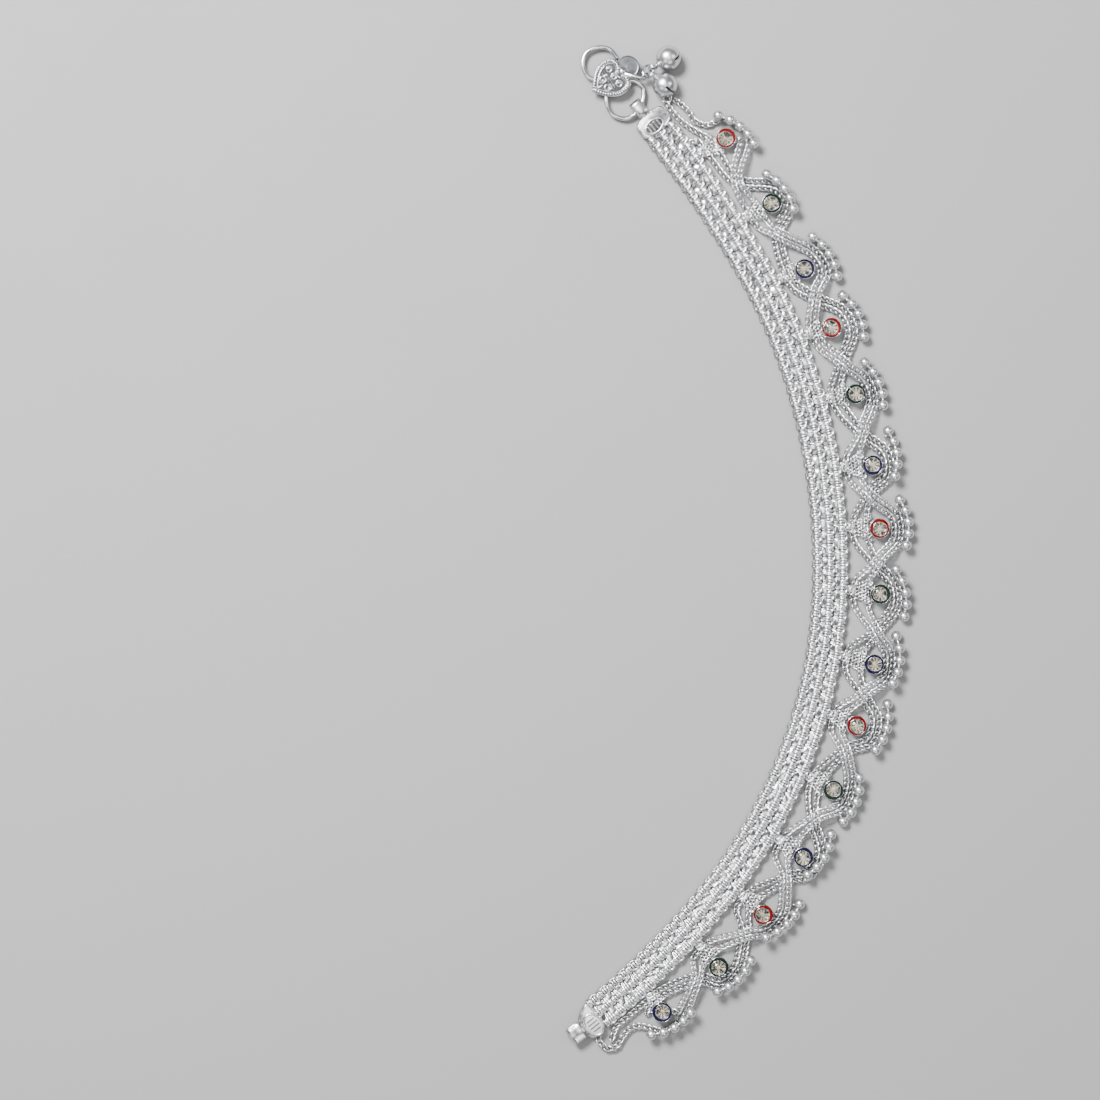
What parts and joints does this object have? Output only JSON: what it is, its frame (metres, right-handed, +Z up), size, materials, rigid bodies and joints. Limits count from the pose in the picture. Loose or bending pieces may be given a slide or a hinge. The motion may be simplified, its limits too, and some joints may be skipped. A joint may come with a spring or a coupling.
{
  "type": "payal anklet",
  "caption": "Silver payal anklet lying open: flat woven band with a chain lace, enamelled cups with clear cut stones, rows of small balls, heart hook clasp and two bells",
  "frame": {"origin": "on the surface the anklet lies on, under the middle of its bounding box", "axes": "+Z up, +Y towards the clasp end, +X towards the outer side of the band, where the lace is"},
  "size_m": [0.081, 0.234, 0.0057],
  "materials": {
    "silver": "polished",
    "red_enamel": "gloss",
    "green_enamel": "gloss",
    "blue_enamel": "gloss",
    "crystal": "cut and polished"
  },
  "bodies": {
    "root": {"woven_band": "silver", "lace_strand_1": "silver", "lace_strand_2": "silver", "lace_strand_3": "silver", "lace_strand_4": "silver", "setting_01": "red_enamel", "stone_01": "crystal", "bead_row_01": "silver", "setting_02": "green_enamel", "stone_02": "crystal", "bead_row_02": "silver", "setting_03": "blue_enamel", "stone_03": "crystal", "bead_row_03": "silver", "setting_04": "red_enamel", "stone_04": "crystal", "bead_row_04": "silver", "setting_05": "green_enamel", "stone_05": "crystal", "bead_row_05": "silver", "setting_06": "blue_enamel", "stone_06": "crystal", "bead_row_06": "silver", "setting_07": "red_enamel", "stone_07": "crystal", "bead_row_07": "silver", "setting_08": "green_enamel", "stone_08": "crystal", "bead_row_08": "silver", "setting_09": "blue_enamel", "stone_09": "crystal", "bead_row_09": "silver", "setting_10": "red_enamel", "stone_10": "crystal", "bead_row_10": "silver", "setting_11": "green_enamel", "stone_11": "crystal", "bead_row_11": "silver", "setting_12": "blue_enamel", "stone_12": "crystal", "bead_row_12": "silver", "setting_13": "red_enamel", "stone_13": "crystal", "bead_row_13": "silver", "setting_14": "green_enamel", "stone_14": "crystal", "bead_row_14": "silver", "setting_15": "blue_enamel", "stone_15": "crystal", "bead_row_15": "silver", "clasp_cap": "silver", "end_cap": "silver", "heart_hook": "silver", "jump_ring": "silver", "bell_1": "silver", "bell_2": "silver"}
  },
  "joints": []
}
